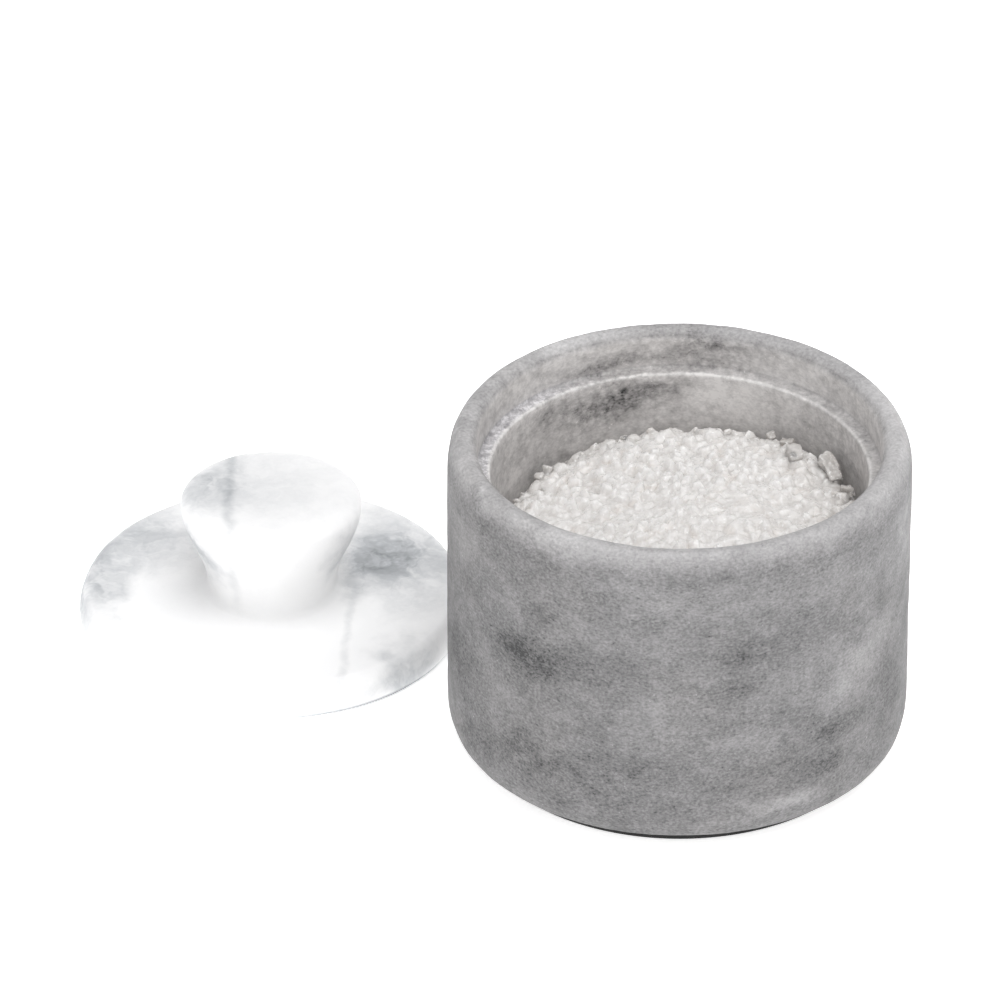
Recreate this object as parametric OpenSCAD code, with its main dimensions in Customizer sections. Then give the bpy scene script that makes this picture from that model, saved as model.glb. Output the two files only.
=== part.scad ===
// Salt cellar turned from stone: an open pot with a stepped rim, a rubber foot pad stuck under it, a
// knobbed lid that drops into the step, and a heap of coarse salt in the bowl. The lid lies beside the
// pot, as it does when the cellar is in use. Millimetres, +Z up, origin at the centre of the pot's base.

/* [Pot] */
// Outside diameter of the pot
pot_d = 90; // [84:0.5:130]
// Height of the stone, without the foot pad
pot_h = 64.5; // [58:0.5:100]
// Thickness of the wall round the lid's seat
rim_t = 5.8; // [4.5:0.1:9]
// Width of the rounding outside the crest of the rim
rim_round_w = 3; // [1.5:0.1:4]
// Height of the rounding outside the crest of the rim
rim_round_h = 6.7; // [2:0.1:9]
// Height of the rounding inside the crest of the rim
lip_round_h = 2.4; // [1:0.1:4]
// Width of the rounding round the bottom edge
base_round_w = 3; // [1:0.1:3.6]
// Height of the rounding round the bottom edge
base_round_h = 6.7; // [1:0.1:12]

/* [Bowl and lid seat] */
// Depth of the step that the lid drops into
seat_depth = 8; // [6:0.1:12]
// Width of the ledge that carries the lid
ledge_w = 2.7; // [1.5:0.1:5]
// Radius that wear has put on the ledge's inner edge
ledge_wear = 0.6; // [0.2:0.05:1.2]
// Radius in the corner between the ledge and the wall of the step
seat_corner = 0.5; // [0.2:0.05:1]
// Thickness of the stone under the bowl
floor_t = 10; // [6:0.5:16]
// Radius between the bowl's wall and its floor
bowl_round = 7; // [3:0.5:12]

/* [Foot pad] */
// Diameter of the foot pad
pad_d = 78.8; // [60:0.2:80]
// Thickness of the foot pad
pad_t = 3; // [2:0.1:5]
// Rounding of the pad's edge on the table side
pad_round = 0.6; // [0.2:0.1:1]

/* [Lid] */
// Clearance round the lid's disc in its seat
lid_gap = 0.6; // [0.3:0.05:1.5]
// Thickness of the lid's disc at its middle
lid_t = 8; // [6.5:0.1:12]
// Width of the rounding under the disc's edge
lid_low_round_w = 1.4; // [0.5:0.1:3]
// Height of the rounding under the disc's edge
lid_low_round_h = 2.4; // [0.5:0.1:3]
// Width of the rounding on top of the disc's edge
lid_top_round_w = 2.3; // [1:0.1:5]
// Rise of the disc's upper face from its edge to the knob
lid_crown = 0.4; // [0.1:0.1:0.9]

/* [Knob] */
// Diameter of the knob at its widest, near the top
knob_d = 36; // [28:0.5:48]
// Diameter of the knob's neck
neck_d = 26; // [16:0.5:27]
// Height of the knob above the disc
knob_h = 21.5; // [16:0.5:32]
// Radius of the fillet between the neck and the disc
neck_fillet = 1.5; // [0.5:0.1:3]
// Width of the rounding round the knob's top
knob_round_w = 4.9; // [2:0.1:8]
// Height of the rounding round the knob's top
knob_round_h = 2; // [1:0.1:4]
// Doming of the knob's top
knob_dome = 0.3; // [0.1:0.1:1.5]

/* [Lid laid beside the pot] */
// Gap between the lid and the pot
beside_gap = 6.4; // [1:0.1:60]
// Direction of the lid from the pot, counted from +X
beside_angle = 153; // [0:1:360]

/* [Salt] */
// Mean level of the salt at the wall, below the ledge
fill_depth = 13.8; // [11:0.1:24]
// Rise of the heap's middle above the salt at the wall
heap_rise = 6; // [2:0.1:8]
// How much higher the salt lies at the wall on one side than half way round
heap_tilt = 2.8; // [0:0.1:4]
// Direction of the higher side, counted from +X
heap_tilt_angle = 25; // [0:1:360]
// Height of the lumps in the heap's surface
lump_h = 0.5; // [0:0.05:1]
// Clearance between the salt and the bowl
salt_gap = 0.2; // [0.1:0.05:0.5]
// Size of the smallest grains modelled one by one
grain_min = 2.3; // [1.8:0.1:3]
// Size of the largest grains modelled one by one
grain_max = 4; // [3:0.1:5]
// Spacing of the grains modelled one by one
grain_pitch = 4.6; // [4.4:0.1:7]
// Length of the largest loose crystal
crystal_length = 8.8; // [6:0.1:11]
// Clearance of a loose crystal in its hollow in the heap
crystal_gap = 0.2; // [0.1:0.05:0.4]

/* [Hidden] */

$fn = 96;
arc_steps = 8;
flare_steps = 14;
sector_count = 36;
heap_rings = 6;
round_steps = 4;
grain_seed = 7;
crystal_seed = 227;
golden_angle = 180 * (3 - sqrt(5));
past_crest = 90 + 90 / arc_steps;

// Shares of a crystal's own size: how far a loose one's middle stands over the heap, how far a grain's
// middle is sunk into it, and how far a grain's corners reach
crystal_rise_share = 0.3;
grain_sink_share = 0.25;
grain_reach_share = 0.62;

// How far the grains stray from the spiral's even spacing and its turns, and how far they lean, in degrees
grain_stray_share = 0.4;
grain_turn = 6;
grain_lean = 20;

// Heights in the pot, counted from the table
stone_z = pad_t;
crest_z = stone_z + pot_h;
ledge_z = crest_z - seat_depth;
bowl_floor_z = stone_z + floor_t;

// Radii in the pot
pot_r = pot_d / 2;
crest_r = pot_r - rim_round_w;
seat_r = pot_r - rim_t;
lip_round_w = crest_r - seat_r;
bowl_r = seat_r - ledge_w;

// The lid, seated by its clearance in the step, and its place on the table
lid_r = seat_r - lid_gap;
lid_top_round_h = lid_t - lid_crown - lid_low_round_h;
knob_r = knob_d / 2;
neck_r = neck_d / 2;
flare_low_z = lid_t + neck_fillet;
flare_top_z = lid_t + knob_h - knob_dome - knob_round_h;
beside_distance = pot_r + beside_gap + lid_r;
lid_place = beside_distance * [cos(beside_angle), sin(beside_angle), 0];

// The salt's bulk
salt_r = bowl_r - salt_gap;
salt_floor_z = bowl_floor_z + salt_gap;
salt_round = bowl_round - salt_gap;
salt_edge_z = ledge_z - fill_depth;
grain_count = round(PI * pow(salt_r / grain_pitch, 2));

// Points of a quarter ellipse about a centre, from one angle to another
function quarter(centre, width, height, from, to) =
    [for (i = [0:arc_steps])
        let (a = from + (to - from) * i / arc_steps)
        centre + [width * cos(a), height * sin(a)]];

// Height of the heap's surface over a point of the bowl
function lumps(x, y) = lump_h * (
    sin(x / salt_r * 410 + 25) * cos(y / salt_r * 350 - 40)
    + 0.7 * sin((x + y) / salt_r * 560) * cos((x - y) / salt_r * 480 + 70));
function heap_z(x, y) = salt_edge_z
    + heap_rise * (1 - (x * x + y * y) / (salt_r * salt_r))
    + heap_tilt * (x * cos(heap_tilt_angle) + y * sin(heap_tilt_angle)) / salt_r
    + lumps(x, y);

// Half section of the pot: outside from the base to the crest, then down the step into the bowl
pot_section = concat(
    [[0, stone_z]],
    quarter([pot_r - base_round_w, stone_z + base_round_h], base_round_w, base_round_h, -90, 0),
    quarter([crest_r, crest_z - rim_round_h], rim_round_w, rim_round_h, 0, 90),
    quarter([crest_r, crest_z - lip_round_h], lip_round_w, lip_round_h, past_crest, 180),
    quarter([seat_r - seat_corner, ledge_z + seat_corner], seat_corner, seat_corner, 0, -90),
    quarter([bowl_r + ledge_wear, ledge_z - ledge_wear], ledge_wear, ledge_wear, 90, 180),
    quarter([bowl_r - bowl_round, bowl_floor_z + bowl_round], bowl_round, bowl_round, 0, -90),
    [[0, bowl_floor_z]]);

// Half section of the lid: disc, fillet, neck flaring to the knob, and the knob's rounded top
lid_section = concat(
    [[0, 0]],
    quarter([lid_r - lid_low_round_w, lid_low_round_h], lid_low_round_w, lid_low_round_h, -90, 0),
    quarter([lid_r - lid_top_round_w, lid_low_round_h], lid_top_round_w, lid_top_round_h, 0, 90),
    quarter([neck_r + neck_fillet, lid_t + neck_fillet], neck_fillet, neck_fillet, 270, 180),
    [for (i = [1:flare_steps - 1])
        let (share = i / flare_steps)
        [neck_r + (knob_r - neck_r) * (1 - cos(180 * share)) / 2,
         flare_low_z + (flare_top_z - flare_low_z) * share]],
    quarter([knob_r - knob_round_w, flare_top_z], knob_round_w, knob_round_h, 0, 90),
    [[0, lid_t + knob_h]]);

module pot() {
    color("darkgray") rotate_extrude() polygon(pot_section);
}

module foot_pad() {
    pad_r = pad_d / 2;
    color("dimgray") rotate_extrude() polygon(concat(
        [[0, 0]],
        quarter([pad_r - pad_round, pad_round], pad_round, pad_round, -90, 0),
        [[pad_r, pad_t], [0, pad_t]]));
}

module lid() {
    color("gainsboro") translate(lid_place) rotate_extrude() polygon(lid_section);
}

// One crystal of salt: a block whose eight corners are pushed in and out by its own random draw
module crystal(size, seed) {
    push_share = rands(0.62, 1.1, 24, seed);
    corners = [for (i = [0:7])
        [for (axis = [0:2])
            size[axis] / 2 * push_share[3 * i + axis] * (floor(i / pow(2, axis)) % 2 == 0 ? -1 : 1)]];
    sides = [[0, 2, 3, 1], [4, 5, 7, 6], [0, 1, 5, 4], [2, 6, 7, 3], [0, 4, 6, 2], [1, 3, 7, 5]];
    hull() polyhedron(corners, sides);
}

// The bulk of the salt: rings of points over the heap, down the wall and round under the floor
module salt_bulk() {
    rings = concat(
        [for (j = [1:heap_rings]) [salt_r * j / heap_rings, 0, true]],
        [for (j = [0:round_steps])
            let (a = -90 * j / round_steps)
            [salt_r - salt_round + salt_round * cos(a), salt_floor_z + salt_round + salt_round * sin(a), false]]);
    points = concat(
        [[0, 0, heap_z(0, 0)], [0, 0, salt_floor_z]],
        [for (ring = rings) for (k = [0:sector_count - 1])
            let (a = 360 * k / sector_count, x = ring[0] * cos(a), y = ring[0] * sin(a))
            [x, y, ring[2] ? heap_z(x, y) : ring[1]]]);
    last = len(rings) - 1;
    at = function (ring, k) 2 + ring * sector_count + k % sector_count;
    faces = concat(
        [for (k = [0:sector_count - 1]) [0, at(0, k + 1), at(0, k)]],
        [for (ring = [0:last - 1]) for (k = [0:sector_count - 1]) each [
            [at(ring, k), at(ring, k + 1), at(ring + 1, k)],
            [at(ring, k + 1), at(ring + 1, k + 1), at(ring + 1, k)]]],
        [for (k = [0:sector_count - 1]) [1, at(last, k), at(last, k + 1)]]);
    polyhedron(points, faces);
}

// Places of the loose crystals: direction from the middle, then shift along the wall, distance from the
// wall, length, width and height as shares of the largest one's length, then turn and lean in degrees
crystal_place_shares = [
    [27, 0, 0.37, 1, 0.48, 0.44, 0, 19],
    [27, -1, 0.29, 0.56, 0.40, 0.42, 12, -24],
    [27, 0.77, 0.74, 0.52, 0.42, 0.40, -25, 30],
    [27, 1.46, 0.33, 0.38, 0.30, 0.32, 30, -15],
    [27, 2.01, 0.29, 0.34, 0.28, 0.30, -40, 20],
    [139, 0, 0.29, 0.36, 0.30, 0.30, 20, 25]];
function crystal_r(place) = salt_r - crystal_length * place[2];
function crystal_angle(place) = place[0] + crystal_length * place[1] / crystal_r(place) * 180 / PI;
function crystal_spot(place) = crystal_r(place) * [cos(crystal_angle(place)), sin(crystal_angle(place))];

// Whether a grain at a spot stays clear of every loose crystal
function clear_spot(spot, size) = min([for (place = crystal_place_shares)
    norm(spot - crystal_spot(place)) - crystal_length * place[3] / 2 - size * grain_reach_share]) > crystal_gap;

// The grains that show, one by one, spread over the heap on a sunflower spiral and half sunk into it
module grains() {
    draw = rands(0, 1, 6 * grain_count, grain_seed);
    for (i = [0:grain_count - 1]) {
        d = [for (j = [0:5]) draw[6 * i + j]];
        size = grain_min + (grain_max - grain_min) * d[0] * d[0];
        turn = i + 0.5 + grain_stray_share * (d[1] - 0.5);
        r = min(grain_pitch * sqrt(turn / PI), salt_r - grain_reach_share * size);
        a = golden_angle * i + grain_turn * (2 * d[2] - 1);
        spot = r * [cos(a), sin(a)];
        sink = size * grain_sink_share * (1 + d[3]) / 2;
        if (clear_spot(spot, size))
            translate([spot.x, spot.y, heap_z(spot.x, spot.y) - sink])
                rotate([grain_lean * (2 * d[3] - 1), grain_lean * (2 * d[4] - 1), 360 * d[5]])
                crystal(size * [1, 0.85, 0.7], grain_seed + i);
    }
}

module loose_crystals(grow) {
    for (i = [0:len(crystal_place_shares) - 1]) {
        place = crystal_place_shares[i];
        size = crystal_length * [place[3], place[4], place[5]] + 2 * grow * [1, 1, 1];
        spot = crystal_spot(place);
        rise = crystal_length * place[5] * crystal_rise_share;
        translate([spot.x, spot.y, heap_z(spot.x, spot.y) + rise])
            rotate([0, place[7], crystal_angle(place) - 90 + place[6]])
            crystal(size, crystal_seed + i);
    }
}

module salt_heap() {
    color("whitesmoke") difference() {
        union() {
            salt_bulk();
            grains();
        }
        loose_crystals(2 * crystal_gap);
    }
}

module large_crystals() {
    color("oldlace") loose_crystals(0);
}

pot();
foot_pad();
salt_heap();
large_crystals();
lid();
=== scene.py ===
"""A salt cellar turned from grey marble, half full of coarse salt, with its pale lid laid beside it."""

import math
import random

import bmesh
import bpy
from mathutils import Euler, Matrix, Vector, kdtree, noise


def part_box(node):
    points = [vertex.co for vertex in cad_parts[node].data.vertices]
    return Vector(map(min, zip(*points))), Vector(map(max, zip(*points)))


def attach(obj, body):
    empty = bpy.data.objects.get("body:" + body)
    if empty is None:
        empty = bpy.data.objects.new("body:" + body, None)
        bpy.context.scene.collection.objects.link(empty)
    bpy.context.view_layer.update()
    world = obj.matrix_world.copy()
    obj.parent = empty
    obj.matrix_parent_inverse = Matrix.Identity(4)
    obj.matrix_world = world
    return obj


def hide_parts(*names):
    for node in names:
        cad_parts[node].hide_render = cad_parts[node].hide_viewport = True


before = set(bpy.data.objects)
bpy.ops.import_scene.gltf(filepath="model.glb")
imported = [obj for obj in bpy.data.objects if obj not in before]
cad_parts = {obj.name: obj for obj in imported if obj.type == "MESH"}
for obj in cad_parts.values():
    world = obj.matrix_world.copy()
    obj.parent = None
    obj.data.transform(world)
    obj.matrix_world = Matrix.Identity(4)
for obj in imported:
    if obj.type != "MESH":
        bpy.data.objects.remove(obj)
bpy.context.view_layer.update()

MM = 0.001
UP = Vector((0, 0, 1))
GOLDEN_ANGLE = math.pi * (3 - math.sqrt(5))

# A turned piece is spun through one sector, which is doubled until it closes, because a full spin is slow
DOUBLINGS = 4
SECTORS = 2 ** DOUBLINGS
WELD = 0.001 * MM
SAME_POINT = 1e-9

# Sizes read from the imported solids
POT_LOW, POT_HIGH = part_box("pot")
_, PAD_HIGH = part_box("foot_pad")
LID_LOW, LID_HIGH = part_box("lid")
SALT_LOW, SALT_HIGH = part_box("salt_heap")
POT_R = POT_HIGH.x
CREST_Z = POT_HIGH.z
STONE_Z = POT_LOW.z
PAD_R = PAD_HIGH.x
PAD_TOP_Z = PAD_HIGH.z
LID_R = (LID_HIGH.x - LID_LOW.x) / 2
LID_TOP_Z = LID_HIGH.z
LID_CENTRE = Vector(((LID_LOW.x + LID_HIGH.x) / 2, (LID_LOW.y + LID_HIGH.y) / 2, 0))
SALT_R = SALT_HIGH.x
SALT_FLOOR_Z = SALT_LOW.z

# The pot's turned section
RIM_T = 5.8 * MM
RIM_ROUND_W = 3 * MM
RIM_ROUND_H = 6.7 * MM
LIP_ROUND_H = 2.4 * MM
BASE_ROUND_W = 3 * MM
BASE_ROUND_H = 6.7 * MM
SEAT_DEPTH = 8 * MM
SEAT_CORNER = 0.5 * MM
LEDGE_W = 2.7 * MM
LEDGE_WEAR = 0.6 * MM
LEDGE_CHIP_REACH = 1.2 * MM
LEDGE_CHIPS_RIGHT = 0.4
FLOOR_T = 10 * MM
BOWL_ROUND = 7 * MM
PAD_ROUND = 0.6 * MM
CREST_R = POT_R - RIM_ROUND_W
SEAT_R = POT_R - RIM_T
BOWL_R = SEAT_R - LEDGE_W
LEDGE_Z = CREST_Z - SEAT_DEPTH
BOWL_FLOOR_Z = STONE_Z + FLOOR_T

# The lid's turned section; the dome's shares are places on the knob's top, from its rounded edge inwards
LID_T = 8 * MM
LID_LOW_ROUND_W = 1.4 * MM
LID_LOW_ROUND_H = 2.4 * MM
LID_TOP_ROUND_W = 2.3 * MM
LID_TOP_ROUND_H = 5.2 * MM
KNOB_R = 18 * MM
NECK_R = 13 * MM
NECK_FILLET = 1.5 * MM
KNOB_ROUND_W = 4.9 * MM
KNOB_ROUND_H = 2 * MM
KNOB_DOME = 0.3 * MM
FLARE_STEPS = 24
DOME_SHARES = (0.85, 0.7, 0.55, 0.4, 0.25, 0.1, 0)

# The lie of the salt
SALT_EDGE_Z = LEDGE_Z - 13.8 * MM
SALT_ROUND = BOWL_ROUND - (BOWL_R - SALT_R)
HEAP_RISE = 6 * MM
HEAP_TILT = 2.8 * MM
HEAP_TILT_ANGLE = math.radians(25)
LUMP_H = 0.5 * MM

# How far the salt falls away at the wall, how much more at the sides, and the shares of the radius where
# the fall and the sides begin; the sides count in full at twice their share
WALL_FALL = 1.6 * MM
SIDE_FALL = 2.6 * MM
FALL_SHARE = 0.91
SIDE_SHARE = 0.35

# The large crystals right of this line are worn in full, the one left of it by a share
RIGHT_CRYSTALS_X = 26 * MM
LEFT_CRYSTAL_WEAR = 0.35

# Clouds in the pot's stone, with painted shade and painted light among them: centre and half sizes in
# millimetres, then how much lighter or darker
# Besides the stone's clouds, these hold painted shade darkening the pot's left side and painted light
# brightening its right side, as light falls from the right
OUTER_CLOUDS_AND_PAINTED_SHADING = [
    ((-29, -34.5, 38.6), (16, 12, 6), -0.11),
    ((-30, -34, 39), (22, 18, 12), -0.08),
    ((-26.5, -36, 49.5), (7, 7, 4), -0.09),
    ((-15, -42, 57), (6, 5, 3), -0.07),
    ((-8, -44, 53), (8, 6, 4), -0.07),
    ((-6, -45, 30), (15, 9, 13), 0.10),
    ((10, -44, 44), (8, 6, 5), -0.06),
    ((10, -44, 38), (10, 6, 5), -0.06),
    ((32, -31, 31), (13, 12, 9), 0.12),
    ((38, -24, 36), (13, 14, 9), 0.12),
    ((35, -28, 52), (13, 15, 10), 0.08),
    ((43, -12, 54), (11, 20, 15), 0.12),
    ((4, -45, 58), (40, 12, 9), 0.06),
    ((-42, -14, 56), (12, 20, 10), 0.12),
    ((28, -35, 15.5), (12, 9, 4.5), -0.11),
    ((21, -39.5, 9.6), (13, 9, 4), 0.16),
    ((8, -44, 7), (10, 6, 2), 0.05),
    ((-30, -34, 16), (15, 13, 10), -0.12),
    ((6, -45, 16), (10, 8, 6), -0.05),
    ((0, -45, 21), (16, 8, 7), -0.04),
    ((11, -44, 25), (7, 6, 5), 0.05),
    ((-43, -13, 27), (12, 20, 18), -0.10),
    ((-40, -22, 12), (12, 14, 10), -0.08),
    ((41, -19, 21), (8, 10, 8), -0.08),
    ((31, -33, 23), (13, 10, 7), -0.13),
    ((-15, -42, 16), (13, 8, 9), -0.06),
    ((28, -35, 56), (15, 12, 13), 0.07),
    ((29, -34.5, 38.5), (9, 9, 8), 0.08),
]
INNER_CLOUDS_AND_PAINTED_SHADING = [
    ((-12, 34.5, 54.8), (15, 10, 5.4), -0.22),
    ((-8, 35.6, 55.4), (11, 8, 3.6), -0.16),
    ((-16, 33, 52.6), (12, 9, 4.4), -0.24),
    ((-14, 34, 55), (26, 18, 9), -0.14),
    ((-1, 36.5, 56.3), (9, 6, 2), -0.18),
    ((-24.5, 27, 56), (9, 9, 4), -0.16),
    ((-28, 22, 50), (16, 16, 10), -0.06),
    # Painted shadow in the crevice between the salt and the wall on the left
    ((-29, 22.4, 44.6), (10, 10, 2.4), -0.06),
    ((-22, 29, 45.6), (8, 7, 2), -0.10),
    # Painted light, lifting the shade on the low left wall just above the salt
    ((-32, 18, 47), (8, 10, 5), 0.16),
    # Painted shadow in the crevice between the salt and the wall on the right
    ((34.5, 13, 52), (3, 8, 3.4), -0.12),
    ((10, 35, 55), (14, 9, 6), 0.12),
]
RIM_CLOUDS_AND_PAINTED_SHADING = [
    ((8.2, 38.5, 64.6), (3.6, 4, 2.6), -0.22),
    ((3.4, 39, 65.2), (6, 4, 1.8), -0.16),
    ((8, 39, 63), (14, 8, 5), -0.20),
    ((-12.7, 37, 61.3), (10, 6, 2.2), -0.26),
    ((-7.6, 38.5, 62.2), (7, 5, 2.2), -0.20),
    ((-18, 34, 61), (11, 9, 2.6), -0.16),
    ((6, 38.6, 60.6), (14, 6, 2), -0.12),
    ((0, 39.2, 62.8), (8, 5, 3), -0.10),
    ((1, 42, 67), (15, 6, 4), -0.10),
    ((-24, 35, 67), (13, 16, 4), 0.10),
    # Painted light on the crest's right side and painted shade on its left side, as light falls from the
    # right
    ((42, 8, 67), (8, 30, 5), 0.12),
    ((-43, -4, 66), (6, 14, 5), -0.06),
]

# Clouds in the lid's stone, and painted shade on the knob's left flank, from the lid's centre: on the
# disc, then on the knob
LID_CLOUDS_AND_PAINTED_SHADE = [
    ((21, 8, 8), (13, 15, 8), -0.46),
    ((24, 9, 8), (8, 9, 6), -0.12),
    ((26, 14, 7), (22, 26, 8), -0.30),
    ((34, 6, 6), (14, 20, 6), -0.14),
    ((27, -7, 7), (14, 12, 6), -0.12),
    ((15.5, -2, 8), (4, 4, 3), -0.16),
    ((29, -28, 3), (17, 15, 8), -0.41),
    ((17, -5, 8), (5, 6, 4), -0.14),
    ((-26, 18, 7), (22, 20, 8), -0.36),
    ((-37, 2, 5), (12, 22, 9), -0.60),
    # Painted shade on the knob's left flank, reaching down to the disc at its foot
    ((-14, -4, 19.5), (11, 15, 11), -0.52),
    ((0, 2, 30), (24, 24, 7), -0.15),
    ((-13, 4, 30), (13, 18, 7), -0.34),
    ((13, -5, 20), (10, 11, 10), -0.36),
]

# A vein is a plane through a point, with a normal, and shows within a reach of that point
KNOB_VEIN = ((-8, 2, 26), (1, 0, 0.08), 26)
DISC_VEIN = ((15, -22, 7), (1, -0.085, 0), 21)


class Wire:
    """An output socket; arithmetic on it adds Math nodes to its material."""

    def __init__(self, paint, socket):
        self.paint = paint
        self.socket = socket

    def math(self, operation, *values):
        return self.paint.node("ShaderNodeMath", {"operation": operation}, dict(enumerate(values)))

    def __add__(self, other):
        return self.math("ADD", self, other)

    def __radd__(self, other):
        return self.math("ADD", other, self)

    def __sub__(self, other):
        return self.math("SUBTRACT", self, other)

    def __rsub__(self, other):
        return self.math("SUBTRACT", other, self)

    def __mul__(self, other):
        return self.math("MULTIPLY", self, other)

    def __pow__(self, other):
        return self.math("POWER", self, other)

    def __abs__(self):
        return self.math("ABSOLUTE", self)

    def most(self, other):
        return self.math("MAXIMUM", self, other)

    def step(self, low, high):
        """0 below low, 1 above high, and a smooth rise between; falls instead where low is over high."""
        settings = {"interpolation_type": "SMOOTHSTEP"}
        rising = low < high
        ends = {1: min(low, high), 2: max(low, high), 3: 0 if rising else 1, 4: 1 if rising else 0}
        return self.paint.node("ShaderNodeMapRange", settings, {0: self, **ends})


class Paint:
    """A procedural material with one Principled shader; its patterns are measured in millimetres."""

    def __init__(self, name, **constants):
        self.material = bpy.data.materials.new(name)
        self.material.use_nodes = True
        self.tree = self.material.node_tree
        self.shader = self.tree.nodes["Principled BSDF"]
        for socket, value in constants.items():
            self.shader.inputs[socket.replace("_", " ")].default_value = value

    def node(self, kind, settings, inputs, output=0):
        """Adds one node: first its settings or a ramp's stops, then its sockets' values or links."""
        made = self.tree.nodes.new(kind)
        for key, value in settings.items():
            if key == "stops":
                set_stops(made.color_ramp.elements, value)
            else:
                setattr(made, key, value)
        for key, value in inputs.items():
            if isinstance(value, Wire):
                self.tree.links.new(value.socket, made.inputs[key])
            else:
                made.inputs[key].default_value = value
        return Wire(self, made.outputs[output])

    def vector(self, operation, first, second=None, scale=None, output=0):
        """Adds one Vector Math node."""
        inputs = {0: first}
        if second is not None:
            inputs[1] = second
        if scale is not None:
            inputs["Scale"] = scale
        return self.node("ShaderNodeVectorMath", {"operation": operation}, inputs, output)

    def place(self):
        """The point on the piece, in millimetres from the object's origin."""
        coordinates = self.node("ShaderNodeTexCoord", {}, {}, "Object")
        return self.vector("SCALE", coordinates, scale=1 / MM)

    def axes(self, place):
        """A place's x, y and z."""
        split = self.node("ShaderNodeSeparateXYZ", {}, {0: place}).socket.node
        return [Wire(self, socket) for socket in split.outputs]

    def length(self, vector):
        return self.vector("LENGTH", vector, output="Value")

    def from_axis(self, place):
        """Distance from the upright axis through the object's origin."""
        return self.length(self.vector("MULTIPLY", place, (1, 1, 0)))

    def drawn_out(self, place, share):
        """A place whose level axes count for a share, which draws a pattern out sideways."""
        return self.vector("MULTIPLY", place, (share, share, 1))

    def noise(self, place, size, detail=2, roughness=0.5, output="Fac"):
        """Soft noise whose features are about size millimetres across."""
        inputs = {"Vector": place, "Scale": 1 / size, "Detail": detail, "Roughness": roughness}
        return self.node("ShaderNodeTexNoise", {}, inputs, output)

    def swirl(self, place, size, detail):
        """A vector that wanders softly about zero."""
        return self.vector("SUBTRACT", self.noise(place, size, detail, 0.6, "Color"), (0.5, 0.5, 0.5))

    def moved(self, place, swirl, reach):
        """A place moved along a swirl, by up to about half the reach."""
        return self.vector("ADD", place, self.vector("SCALE", swirl, scale=reach))

    def cells(self, place, size, output="Distance"):
        """Irregular cells about size millimetres across."""
        return self.node("ShaderNodeTexVoronoi", {}, {"Vector": place, "Scale": 1 / size}, output)

    def mix(self, share, first, second, blend="MIX"):
        """One colour over another."""
        inputs = {"Factor": share, 6: first, 7: second}
        return self.node("ShaderNodeMix", {"data_type": "RGBA", "blend_type": blend}, inputs, 2)

    def ramp(self, value, *stops):
        """A colour that follows a value through stops of place and colour."""
        return self.node("ShaderNodeValToRGB", {"stops": stops}, {0: value})

    def bump(self, height, strength, depth):
        """A bumped normal; depth is the height's full swing in millimetres."""
        inputs = {"Height": height, "Strength": strength, "Distance": depth * MM}
        return self.node("ShaderNodeBump", {}, inputs)

    def give(self, **wires):
        """Links wires to the shader's sockets."""
        for socket, wire in wires.items():
            self.tree.links.new(wire.socket, self.shader.inputs[socket.replace("_", " ")])
        return self.material


def set_stops(elements, stops):
    """Gives a colour ramp its stops."""
    while len(elements) < len(stops):
        elements.new(1)
    for element, (place, colour) in zip(elements, stops):
        element.position = place
        element.color = colour


def grey(value, warmth=0.0):
    """A nearly neutral colour, a little warm or cool."""
    return (value * (1 + warmth), value, value * (1 - warmth), 1)


def ring_gap(out, z, radius, height):
    """Distance in millimetres from a level ring round the pot's axis."""
    across = out - radius / MM
    along = z - height / MM
    return (across * across + along * along) ** 0.5


def patches(paint, place, clouds):
    """Soft patches of the stone's clouds and of painted shade and light: the sum of blurred lumps."""
    total = 0
    for centre, spread, strength in clouds:
        away = paint.vector("SUBTRACT", place, centre)
        reach = paint.length(paint.vector("DIVIDE", away, spread))
        total = reach.step(1, 0) * strength + total
    return total


def vein(paint, place, course, width):
    """A soft wavering vein where a plane cuts the stone."""
    start, normal, reach = course
    wavering = paint.moved(place, paint.swirl(place, 10, 2), 3.5)
    away = paint.vector("SUBTRACT", wavering, start)
    across = paint.vector("DOT_PRODUCT", away, tuple(Vector(normal).normalized()), output="Value")
    near = paint.length(away).step(reach, reach * 0.5)
    broken = paint.noise(place, 3.5, 3, 0.6).step(0.34, 0.62)
    return abs(across).step(width, 0) * near * (0.5 + broken * 0.5)


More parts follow.
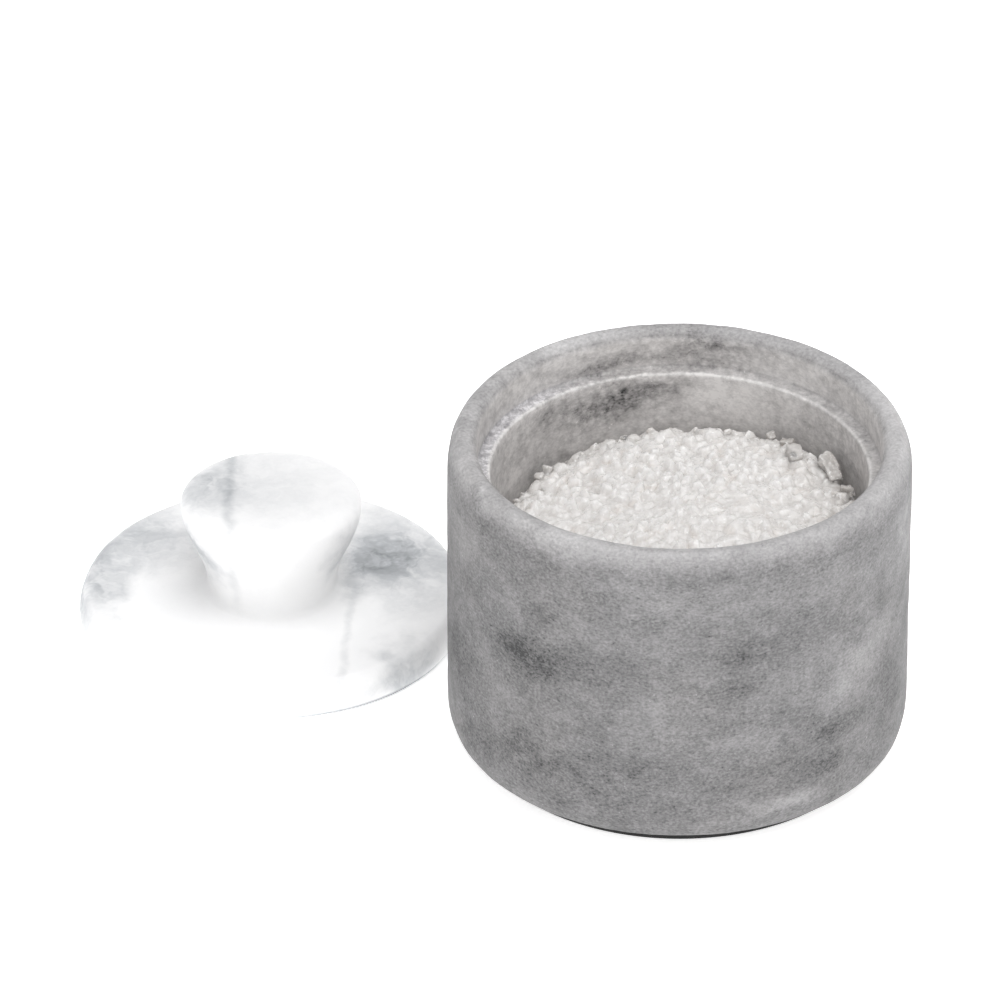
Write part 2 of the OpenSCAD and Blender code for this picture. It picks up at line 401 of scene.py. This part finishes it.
def pot_marble():
    """Honed grey marble: sugary grain drawn out round the pot, dark clouds and worn, paler edges, with
    painted shade and painted light among the clouds.
    """
    paint = Paint("pot marble", Specular_IOR_Level=0.35)
    place = paint.place()
    x, _, z = paint.axes(place)
    out = paint.from_axis(place)
    swirl = paint.swirl(place, 9, 3)
    bent = paint.moved(place, swirl, 14)
    drawn = paint.drawn_out(place, 0.7)

    # The inner walls, the left side, the ledge, the crest of the rim and the ledge's inner edge
    inside = out.step(CREST_R / MM, CREST_R / MM - 1.4) * z.step(CREST_Z / MM - 0.2, CREST_Z / MM - 2.4)
    west = x.step(-12, -30)
    level = abs(z - LEDGE_Z / MM).step(0.7, 0.2)
    ledge = level * out.step(BOWL_R / MM + 0.3, BOWL_R / MM + 1) * out.step(SEAT_R / MM + 1, SEAT_R / MM)
    crest = ring_gap(out, z, CREST_R, CREST_Z).step(7, 0.5)
    brink = ring_gap(out, z, BOWL_R + LEDGE_WEAR * 0.3, LEDGE_Z)

    # Patterns in the stone, with painted shade and light among the patches, from the widest to the finest
    clouds = paint.noise(paint.drawn_out(bent, 0.7), 13, 4, 0.6) - 0.5
    drift = paint.noise(paint.drawn_out(bent, 0.6), 5, 4, 0.7) - 0.5
    ragged = paint.noise(bent, 4, 3, 0.65).step(0.30, 0.60) * 0.5 + 0.7
    # The stone's clouds together with the tables' painted shade and painted light
    spots = patches(paint, paint.moved(place, swirl, 5), OUTER_CLOUDS_AND_PAINTED_SHADING + INNER_CLOUDS_AND_PAINTED_SHADING + RIM_CLOUDS_AND_PAINTED_SHADING) * ragged
    dark = (0 - spots).most(0)
    mottle = paint.noise(drawn, 2.2, 2, 0.6) - 0.5
    kernels = paint.cells(paint.moved(place, swirl, 1), 1.5) - 0.45
    lines = paint.noise(paint.drawn_out(place, 0.12), 0.9, 2, 0.6) - 0.5
    pits = paint.noise(drawn, 0.6, 1).step(0.62, 0.76)
    glints = paint.noise(place, 0.5, 1).step(0.72, 0.80)
    grain = paint.noise(drawn, 0.45, 2, 0.6) - 0.5

    # Chips along the ledge's inner edge, fewer on the right
    crumbs = paint.noise(place, 1.2, 3, 0.75).step(0.42, 0.66)
    worn = paint.noise(place, 5).step(0.3, 0.6) * 0.6 + 0.4
    wear = (brink - west * 0.9).step(1.2, 0) * (crumbs * 0.7 + 0.3)
    wear = wear * worn * (x.step(24, -4) * 0.85 + 0.15)

    tone = (inside * 0.58).most(crest * 0.325) + 0.225 + clouds * 0.26 + spots
    tone = tone - ledge * (0.20 - west * 0.06)
    tone = tone + drift * (0.26 + crest * (0.2 + west * 0.3))
    tone = tone + grain * (0.48 + dark * 0.45) + mottle * (0.16 + inside * 0.35) + lines * 0.06
    tone = tone - kernels * inside * (0.24 + dark * 0.35) + (crumbs - 0.4) * ledge * west * 0.30
    tone = tone - pits * (0.08 + dark * 0.3) + glints * (0.18 + inside * 0.12)
    tone = tone + wear * 0.30
    middle = (0.378, 0.370, 0.372, 1)
    palest = (0.735, 0.725, 0.723, 1)
    colour = paint.ramp(tone, (0, grey(0.04, -0.02)), (0.5, middle), (1, palest))
    warm = inside * 0.45 + paint.noise(bent, 22).step(0.45, 0.7) * 0.2
    colour = paint.mix(warm, colour, (1.0, 0.975, 0.945, 1), "MULTIPLY")
    colour = paint.mix(ledge * west, colour, (0.96, 0.965, 1.0, 1), "MULTIPLY")

    rough = 0.6 + grain * 0.3 - glints * 0.3
    relief = paint.bump(grain * 0.6 + mottle * 0.5 - pits * 0.3, strength=0.4, depth=0.06)
    return paint.give(Base_Color=colour, Roughness=rough, Normal=relief)


def lid_marble():
    """The lid's paler marble, nearly white, with blue-grey clouds, two thin veins, painted shade on the
    knob's left flank and a painted shadow along the disc's lower edge on the right.
    """
    soft = {"Subsurface_Weight": 1.0, "Subsurface_Scale": 5 * MM, "Subsurface_Radius": (1, 1, 1)}
    paint = Paint("lid marble", Specular_IOR_Level=0.35, **soft)
    place = paint.vector("SUBTRACT", paint.place(), tuple(LID_CENTRE / MM))
    x, _, z = paint.axes(place)
    bent = paint.moved(place, paint.swirl(place, 9, 3), 12)

    clouds = paint.noise(bent, 13, 4, 0.55) - 0.5
    ragged = paint.noise(bent, 5, 3, 0.65).step(0.28, 0.62) * 0.6 + 0.6
    # The stone's clouds together with the painted shade on the knob's flank
    spots = patches(paint, bent, LID_CLOUDS_AND_PAINTED_SHADE) * ragged
    dark = (0 - spots).most(0)
    mottle = paint.noise(bent, 2.6, 3, 0.6) - 0.5
    grain = paint.noise(place, 0.5, 2, 0.6) - 0.5
    # Painted shadow: a dark line along the under-rounding of the disc's lower edge, on the right and
    # fading out towards the left
    painted_edge_shadow = z.step(1.6, 0.3) * x.step(-12, 20)

    tone = 1.0 + clouds * 0.10 + spots + grain * 0.06 + mottle * (0.04 + dark * 0.65)
    tone = tone - vein(paint, place, KNOB_VEIN, 1.8) * 0.22 - vein(paint, place, DISC_VEIN, 1.4) * 0.16
    tone = tone - painted_edge_shadow * 0.85
    colour = paint.ramp(tone, (0, grey(0.22, -0.05)), (0.5, grey(0.52, -0.03)), (1, grey(0.93, 0.002)))
    rough = 0.42 + grain * 0.2
    relief = paint.bump(grain * 0.6 + paint.noise(place, 1.1) * 0.5, strength=0.3, depth=0.05)
    return paint.give(Base_Color=colour, Roughness=rough, Normal=relief)


def pad_rubber():
    """Dark foam rubber with a fine pebbled skin."""
    paint = Paint("pad rubber", Specular_IOR_Level=0.3)
    place = paint.place()
    dust = paint.noise(place, 3, 3, 0.6).step(0.5, 0.75)
    colour = paint.ramp(dust, (0, grey(0.022)), (1, grey(0.062, 0.01)))
    rough = 0.75 + dust * 0.15
    relief = paint.bump(paint.cells(place, 0.5), strength=0.4, depth=0.06)
    return paint.give(Base_Color=colour, Roughness=rough, Normal=relief)


def salt_skin(name, soak, white, clear=0.0):
    """Cloudy white salt that light soaks into; at the wall, on the right and in clear crystals it is
    painted darker and beige, standing for the dark wall seen through the clear salt.
    """
    soft = {"Subsurface_Weight": 1.0, "Subsurface_Scale": soak, "Subsurface_Radius": (1, 1, 1)}
    paint = Paint(name, IOR=1.5, **soft)
    place = paint.place()
    x, _, _ = paint.axes(place)
    out = paint.from_axis(place)
    crystal = paint.node("ShaderNodeNewGeometry", {}, {}, "Random Per Island")
    speck = paint.cells(place, 1.9, "Color")
    speck = paint.vector("DOT_PRODUCT", speck, (0.4, 0.3, 0.3), output="Value").step(0.2, 0.8)

    # Painted see-through tint: darker beige salt at the wall, on the right and in clear crystals, where
    # the dark wall shows through
    at_wall = out.step(SALT_R / MM * 0.76, SALT_R / MM * 0.94) * 0.7
    at_right = (out + x * 0.4).step(26, 48) * 0.8
    thin = at_wall.most(at_right) * (speck * 0.5 + 0.6)
    thin = thin.most(crystal.step(0.7, 1) * 0.3).most(crystal * clear)
    stain = paint.noise(place, 5, 3, 0.6).step(0.50, 0.72)
    spark = paint.noise(place, 0.7, 2, 0.6).step(0.60, 0.70)
    colour = paint.mix(thin, grey(white, 0.022), grey(white * 0.70, 0.045))
    colour = paint.mix(stain * 0.5, colour, (1.0, 0.955, 0.92, 1), "MULTIPLY")
    colour = paint.mix(speck * 0.6, colour, (0.90, 0.895, 0.89, 1), "MULTIPLY")
    colour = paint.mix(spark * 0.55, colour, (0.95, 0.945, 0.94, 1))
    rough = 0.12 + paint.noise(place, 0.8, 2, 0.6).step(0.3, 0.7) * 0.35
    relief = paint.bump(paint.noise(place, 0.5, 2, 0.6), strength=0.3, depth=0.05)
    return paint.give(Base_Color=colour, Roughness=rough, Normal=relief)


def floor_paper():
    """Plain white paper, lit from below as on a light table."""
    glow = {"Emission_Color": (1, 1, 1, 1), "Emission_Strength": 0.63}
    matt = {"Base_Color": (0.93, 0.93, 0.93, 1), "Specular_IOR_Level": 0.0, "Roughness": 1.0}
    return Paint("floor paper", **matt, **glow).material


def arc(centre_r, centre_z, width, height, start, end, steps):
    """Points of an elliptical arc in the half plane of a turned section, angles in degrees."""
    points = []
    for i in range(steps + 1):
        a = math.radians(start + (end - start) * i / steps)
        points.append((centre_r + width * math.cos(a), centre_z + height * math.sin(a)))
    return points


def run(start, end, steps):
    """Points between two points of a section, without its ends."""
    (r0, z0), (r1, z1) = start, end
    return [(r0 + (r1 - r0) * i / steps, z0 + (z1 - z0) * i / steps) for i in range(1, steps)]


def joined(*stretches, spacing=1.0 * MM):
    """One section from stretches of points, with the straights between them divided evenly."""
    outline = list(stretches[0])
    for stretch in stretches[1:]:
        gap = math.dist(outline[-1], stretch[0])
        outline += run(outline[-1], stretch[0], max(1, round(gap / spacing)))
        outline += stretch if gap > SAME_POINT else stretch[1:]
    return outline


def section(outline):
    """A bmesh with a half section as one line of edges, and the parts of that line."""
    bm = bmesh.new()
    verts = [bm.verts.new((r, 0, z)) for r, z in outline]
    edges = [bm.edges.new(pair) for pair in zip(verts, verts[1:])]
    return bm, verts + edges


def turned(name, outline, centre=Vector(), segments=320):
    """A solid turned about an upright axis from a half section that starts and ends on the axis."""
    bm, line = section(outline)
    sector = math.tau / SECTORS
    bmesh.ops.spin(bm, geom=line, cent=(0, 0, 0), axis=UP, angle=sector, steps=segments // SECTORS)
    for doubling in range(DOUBLINGS):
        copied = bmesh.ops.duplicate(bm, geom=bm.verts[:] + bm.edges[:] + bm.faces[:])["geom"]
        corners = [part for part in copied if isinstance(part, bmesh.types.BMVert)]
        turn = Matrix.Rotation(sector * 2 ** doubling, 3, UP)
        bmesh.ops.rotate(bm, verts=corners, cent=(0, 0, 0), matrix=turn)
    bmesh.ops.remove_doubles(bm, verts=bm.verts, dist=WELD)
    bmesh.ops.recalc_face_normals(bm, faces=bm.faces)
    bmesh.ops.translate(bm, verts=bm.verts, vec=centre)
    return finished(name, bm)


def meshed(name, bm):
    """Turns a bmesh into a mesh."""
    mesh = bpy.data.meshes.new(name)
    bm.to_mesh(mesh)
    bm.free()
    return mesh


def placed(name, mesh):
    """Puts a mesh in the scene as an object with smooth faces."""
    mesh.shade_smooth()
    piece = bpy.data.objects.new(name, mesh)
    bpy.context.scene.collection.objects.link(piece)
    return piece


def finished(name, bm):
    """Turns a bmesh into an object in the scene."""
    return placed(name, meshed(name, bm))


def roughen(piece, depth, size, near=None):
    """Wears a surface inwards by noise; near gives each point's share of the full depth."""
    fading, spread, octaves = 1, 2, 3
    vertices = piece.data.vertices
    normals = [vertex.normal.copy() for vertex in vertices]
    for vertex, normal in zip(vertices, normals):
        share = near(vertex.co) if near else 1
        if share > 0:
            bite = noise.fractal(vertex.co / size, fading, spread, octaves)
            vertex.co -= normal * depth * share * max(0, 0.5 + bite)


def dress(piece, material, body, slot, *nodes):
    """Gives a piece its finish and its body, and hides the CAD nodes that it stands for; slot is not used.
    """
    piece.data.materials.clear()
    piece.data.materials.append(material)
    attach(piece, body)
    if nodes:
        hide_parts(*nodes)


def by_ledge(point):
    """How much the ledge's inner edge is chipped near a point, less on the right."""
    out = math.hypot(point.x, point.y)
    gap = math.hypot(out - BOWL_R - LEDGE_WEAR, point.z - LEDGE_Z)
    return max(0, 1 - gap / LEDGE_CHIP_REACH) * (1 if point.x < 0 else LEDGE_CHIPS_RIGHT)


def pot():
    outline = joined(
        [(0, STONE_Z)],
        arc(POT_R - BASE_ROUND_W, STONE_Z + BASE_ROUND_H, BASE_ROUND_W, BASE_ROUND_H, -90, 0, 14),
        arc(CREST_R, CREST_Z - RIM_ROUND_H, RIM_ROUND_W, RIM_ROUND_H, 0, 90, 16),
        arc(CREST_R, CREST_Z - LIP_ROUND_H, CREST_R - SEAT_R, LIP_ROUND_H, 95, 180, 12),
        arc(SEAT_R - SEAT_CORNER, LEDGE_Z + SEAT_CORNER, SEAT_CORNER, SEAT_CORNER, 0, -90, 5),
        arc(BOWL_R + LEDGE_WEAR, LEDGE_Z - LEDGE_WEAR, LEDGE_WEAR, LEDGE_WEAR, 90, 180, 6),
        arc(BOWL_R - BOWL_ROUND, BOWL_FLOOR_Z + BOWL_ROUND, BOWL_ROUND, BOWL_ROUND, 0, -90, 8),
        [(0, BOWL_FLOOR_Z)],
        spacing=1.3 * MM)
    piece = turned("pot_stone", outline)
    roughen(piece, depth=0.10 * MM, size=7 * MM)
    roughen(piece, depth=0.35 * MM, size=1.1 * MM, near=by_ledge)
    dress(piece, pot_marble(), "cellar", "pot_stone", "pot")


def pad():
    outline = joined(
        [(0, 0)],
        arc(PAD_R - PAD_ROUND, PAD_ROUND, PAD_ROUND, PAD_ROUND, -90, 0, 6),
        [(PAD_R, PAD_TOP_Z)],
        [(0, PAD_TOP_Z)],
        spacing=3 * MM)
    piece = turned("pad_rubber", outline, segments=192)
    dress(piece, pad_rubber(), "cellar", "pad_rubber", "foot_pad")


def lid():
    flare_low = LID_T + NECK_FILLET
    flare_top = LID_TOP_Z - KNOB_DOME - KNOB_ROUND_H
    flare = []
    for i in range(1, FLARE_STEPS):
        share = i / FLARE_STEPS
        r = NECK_R + (KNOB_R - NECK_R) * (1 - math.cos(math.pi * share)) / 2
        flare.append((r, flare_low + (flare_top - flare_low) * share))
    top_r = KNOB_R - KNOB_ROUND_W
    dome = [(top_r * share, LID_TOP_Z - KNOB_DOME * share * share) for share in DOME_SHARES]
    outline = joined(
        [(0, 0)],
        arc(LID_R - LID_LOW_ROUND_W, LID_LOW_ROUND_H, LID_LOW_ROUND_W, LID_LOW_ROUND_H, -90, 0, 10),
        arc(LID_R - LID_TOP_ROUND_W, LID_LOW_ROUND_H, LID_TOP_ROUND_W, LID_TOP_ROUND_H, 0, 90, 14),
        arc(NECK_R + NECK_FILLET, LID_T + NECK_FILLET, NECK_FILLET, NECK_FILLET, 270, 180, 8),
        flare,
        arc(top_r, flare_top, KNOB_ROUND_W, KNOB_ROUND_H, 0, 90, 14),
        dome)
    piece = turned("lid_stone", outline, LID_CENTRE)
    roughen(piece, depth=0.08 * MM, size=8 * MM)
    dress(piece, lid_marble(), "lid", "lid_stone", "lid")


def heap_z(x, y):
    """Height of the heap over a point of the bowl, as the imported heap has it."""
    u = x / SALT_R
    v = y / SALT_R
    turn = math.radians
    lumps = math.sin(turn(u * 410 + 25)) * math.cos(turn(v * 350 - 40))
    lumps += 0.7 * math.sin(turn((u + v) * 560)) * math.cos(turn((u - v) * 480 + 70))
    tilt = HEAP_TILT * (u * math.cos(HEAP_TILT_ANGLE) + v * math.sin(HEAP_TILT_ANGLE))
    return SALT_EDGE_Z + HEAP_RISE * (1 - u * u - v * v) + tilt + LUMP_H * lumps


def bed_z(x, y):
    """Height that the crystals lie at: the heap's, but lower at the wall, and lowest at its sides."""
    close = max(0, math.hypot(x, y) / SALT_R - FALL_SHARE) / (1 - FALL_SHARE)
    aside = min(1, max(0, abs(x) / SALT_R - SIDE_SHARE) / SIDE_SHARE)
    return heap_z(x, y) - (WALL_FALL + SIDE_FALL * aside) * close ** 1.5


def toward_wall(x, y, chance):
    """Keeps crystals that lie near the wall or on the heap's right, and fewer elsewhere."""
    return math.hypot(x, y) / SALT_R > 0.5 + 0.5 * chance or x > (4 + 26 * chance) * MM


def beside_wall(x, y, chance):
    """Keeps crystals of the ring just inside the wall."""
    return 0.78 + 0.14 * chance < math.hypot(x, y) / SALT_R < 0.95


def behind(x, y, chance):
    """Keeps crystals on the heap's far side, and some elsewhere."""
    return y > 4 * MM or chance < 0.3


def spiral_spot(draw, i, count, sizes, power, reach_share):
    """Draws the size of one crystal and its place on a sunflower spiral over the heap."""
    small, large = sizes
    size = (small + (large - small) * draw.random() ** power) * MM
    r = (SALT_R - reach_share * size) * math.sqrt((i + draw.random()) / count)
    a = GOLDEN_ANGLE * i + draw.uniform(-0.1, 0.1)
    return size, r * math.cos(a), r * math.sin(a)


class Bed:
    """Crystals packed side by side, each a tilted flat top with sloping sides.

    Pitch and sizes are in millimetres. Levels are shares of a crystal's size, slopes are rises over runs.
    """

    SIDES = 5

    def __init__(self, pitch, sizes, levels, slopes, seed, keep=None):
        draw = random.Random(seed)
        count = round(math.pi * (SALT_R / (pitch * MM)) ** 2)
        self.crystals = []
        spots = []
        for i in range(count):
            size, x, y = spiral_spot(draw, i, count, sizes, 1.5, 0.4)
            turn = draw.uniform(0, math.tau)
            sides = []
            for k in range(self.SIDES):
                b = turn + math.tau * (k + draw.uniform(-0.3, 0.3)) / self.SIDES
                flat = size * draw.uniform(0.2, 0.4)
                sides.append((math.cos(b), math.sin(b), flat, draw.uniform(*slopes)))
            tilt = (draw.uniform(-0.4, 0.4), draw.uniform(-0.4, 0.4))
            level = size * draw.uniform(*levels)
            if keep and not keep(x, y, draw.random()):
                continue
            spots.append((x, y, 0))
            self.crystals.append((sides, tilt, level))
        self.tree = kdtree.KDTree(len(spots))
        for i, spot in enumerate(spots):
            self.tree.insert(spot, i)
        self.tree.balance()

    def tops(self, x, y, nearest):
        """Heights of the nearest crystals' tops over a point."""
        heights = []
        for centre, i, _ in self.tree.find_n((x, y, 0), nearest):
            sides, tilt, level = self.crystals[i]
            dx = x - centre.x
            dy = y - centre.y
            fall = max(slope * (u * dx + v * dy - flat) for u, v, flat, slope in sides)
            heights.append(level + tilt[0] * dx + tilt[1] * dy - max(0, fall))
        return heights


def crystal_shape(seed, cuts):
    """A master crystal one unit across: a round lump pressed flat on some sides."""
    draw = random.Random(seed)
    bm = bmesh.new()
    bmesh.ops.create_icosphere(bm, subdivisions=2, radius=0.56)
    planes = []
    for _ in range(cuts):
        way = Vector([draw.gauss(0, 1) for _ in range(3)]).normalized()
        planes.append((way, draw.uniform(0.26, 0.42)))
    for vertex in bm.verts:
        for way, reach in planes * 2:
            vertex.co -= way * max(0, vertex.co.dot(way) - reach)
    bmesh.ops.scale(bm, verts=bm.verts, vec=(1, draw.uniform(0.7, 0.95), draw.uniform(0.65, 0.9)))
    return meshed("crystal_shape", bm)


def strew(name, shapes, count, sizes, sink, seed, keep):
    """Crystals strewn over the heap, each sized, turned and sunk by its own draws.

    Sizes are in millimetres, and a crystal sinks or rises by a share of its size.
    """
    draw = random.Random(seed)
    bm = bmesh.new()
    for i in range(count):
        size, x, y = spiral_spot(draw, i, count, sizes, 2, 0.55)
        turn = Euler([draw.uniform(0, math.tau) for _ in range(3)]).to_matrix().to_4x4()
        centre = Vector((x, y, bed_z(x, y) + size * draw.uniform(*sink)))
        shape = draw.choice(shapes)
        if not keep(x, y, draw.random()):
            continue
        known = len(bm.verts)
        bm.from_mesh(shape)
        bm.verts.ensure_lookup_table()
        lie = Matrix.Translation(centre) @ turn @ Matrix.Scale(size, 4)
        bmesh.ops.transform(bm, matrix=lie, verts=bm.verts[known:])
    return finished(name, bm)


def salt():
    """The heap: a skin in the shape of packed crystals, and loose grains in the ring at the wall."""
    under = joined(
        [(0, SALT_FLOOR_Z)],
        arc(SALT_R - SALT_ROUND, SALT_FLOOR_Z + SALT_ROUND, SALT_ROUND, SALT_ROUND, -90, 0, 3),
        [(SALT_R, SALT_EDGE_Z)],
        spacing=6 * MM)
    mound = turned("salt_mound", joined(under, [(0, SALT_EDGE_Z)], spacing=0.30 * MM), segments=640)
    fine = Bed(1.4, (1.2, 2.1), levels=(-0.2, 0.05), slopes=(0.6, 1.1), seed=2)
    coarse = Bed(2.9, (2.4, 4.8), levels=(-0.02, 0.14), slopes=(0.5, 1.0), seed=4, keep=toward_wall)
    brim = Bed(2.4, (2.0, 3.4), levels=(0.05, 0.42), slopes=(1.0, 2.0), seed=6, keep=beside_wall)
    proud = Bed(2.6, (1.5, 2.7), levels=(0.15, 0.70), slopes=(1.6, 3.2), seed=9, keep=behind)
    for vertex in mound.data.vertices:
        x, y, z = vertex.co
        if z > SALT_EDGE_Z - 0.01 * MM:
            tops = fine.tops(x, y, 4) + coarse.tops(x, y, 3) + brim.tops(x, y, 2) + proud.tops(x, y, 2)
            vertex.co.z = bed_z(x, y) + max(tops)
    dress(mound, salt_skin("salt", 5.8 * MM, 0.730), "cellar", "salt", "salt_heap")

    shapes = [crystal_shape(seed, 9) for seed in range(12)]
    grains = strew("salt_grains", shapes, 560, (1.8, 3.4), sink=(-0.2, 0.15), seed=8, keep=beside_wall)
    dress(grains, salt_skin("salt crystal", 1.0 * MM, 0.74), "cellar", "salt")


def right_side(point):
    """Full wear on the crystals at the right wall, and less on the one at the left."""
    return 1 if point.x > RIGHT_CRYSTALS_X else LEFT_CRYSTAL_WEAR


def large_crystals():
    """The loose crystals at the wall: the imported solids, with their edges worn round."""
    block = placed("packed_crystals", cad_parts["large_crystals"].data.copy())
    even = block.modifiers.new("even", "REMESH")
    even.mode = "VOXEL"
    even.voxel_size = 0.3 * MM
    worn = block.modifiers.new("worn", "SMOOTH")
    worn.factor = 0.5
    worn.iterations = 30
    shaped = block.evaluated_get(bpy.context.evaluated_depsgraph_get())
    piece = placed("large_salt_crystals", bpy.data.meshes.new_from_object(shaped))
    bpy.data.objects.remove(block)
    roughen(piece, depth=0.8 * MM, size=3.2 * MM, near=right_side)
    roughen(piece, depth=0.12 * MM, size=0.9 * MM)
    skin = salt_skin("large salt crystal", 1.4 * MM, 0.62, clear=1.0)
    dress(piece, skin, "cellar", "salt", "large_crystals")


# The photograph's camera: its lens and aim follow from the pot's outlines
FRAME_PX = 1000
SENSOR_MM = 36
FOCAL_PX = 9431
VIEW_TILT = math.radians(31.825)
VIEW_DISTANCE = 1.8544
BASE_PX = (676.5, 728.3)


def camera():
    """A long lens looking along +Y and down, with the pot's base at its place in the frame."""
    forward = Vector((0, math.cos(VIEW_TILT), -math.sin(VIEW_TILT)))
    right = Vector((1, 0, 0))
    up = right.cross(forward)
    aside = (BASE_PX[0] - FRAME_PX / 2) / FOCAL_PX * VIEW_DISTANCE
    below = (BASE_PX[1] - FRAME_PX / 2) / FOCAL_PX * VIEW_DISTANCE
    data = bpy.data.cameras.new("camera")
    data.sensor_width = SENSOR_MM
    data.lens = FOCAL_PX * SENSOR_MM / FRAME_PX
    data.clip_start = 0.01
    data.clip_end = 50
    eye = bpy.data.objects.new("camera", data)
    eye.location = -aside * right + below * up - VIEW_DISTANCE * forward
    eye.rotation_euler = (math.pi / 2 - VIEW_TILT, 0, 0)
    bpy.context.scene.collection.objects.link(eye)
    bpy.context.scene.camera = eye


# The studio, in metres and watts: the floor is level out to its bend, and both lights face one point
FLOOR_LEVEL_R = 3.0
FLOOR_BEND = 1.0
LIGHT_AIM = Vector((0, 0, 0.03))
SKY_COLOUR = (0.98, 0.98, 1.0, 1)
SKY_STRENGTH = 0.31


def softbox(name, place, size, power):
    """A square area light that faces the middle of the pot."""
    data = bpy.data.lights.new(name, "AREA")
    data.shape = "SQUARE"
    data.size = size
    data.energy = power
    lamp = bpy.data.objects.new(name, data)
    lamp.location = place
    lamp.rotation_euler = (Vector(place) - LIGHT_AIM).to_track_quat("Z", "Y").to_euler()
    bpy.context.scene.collection.objects.link(lamp)


def studio():
    """A white floor that curves up far away, an even pale sky and two large soft lights."""
    bend = arc(FLOOR_LEVEL_R, FLOOR_BEND, FLOOR_BEND, FLOOR_BEND, -90, 0, 12)
    bm, line = section(joined([(0, 0)], [(FLOOR_LEVEL_R, 0)], bend, spacing=0.5))
    full_turn = {"cent": (0, 0, 0), "axis": UP, "angle": math.tau, "use_merge": True}
    bmesh.ops.spin(bm, geom=line, steps=96, **full_turn)
    bmesh.ops.remove_doubles(bm, verts=bm.verts, dist=MM)
    floor = finished("floor", bm)
    floor.data.materials.append(floor_paper())

    world = bpy.data.worlds.new("studio")
    world.use_nodes = True
    sky = world.node_tree.nodes["Background"]
    sky.inputs["Color"].default_value = SKY_COLOUR
    sky.inputs["Strength"].default_value = SKY_STRENGTH
    bpy.context.scene.world = world
    softbox("top_light", (0.15, -0.15, 1.3), size=1.2, power=14)
    softbox("front_light", (-0.15, -1.1, 0.7), size=0.9, power=4)
    bpy.context.scene.view_settings.view_transform = "Standard"


camera()
studio()
pot()
pad()
salt()
large_crystals()
lid()
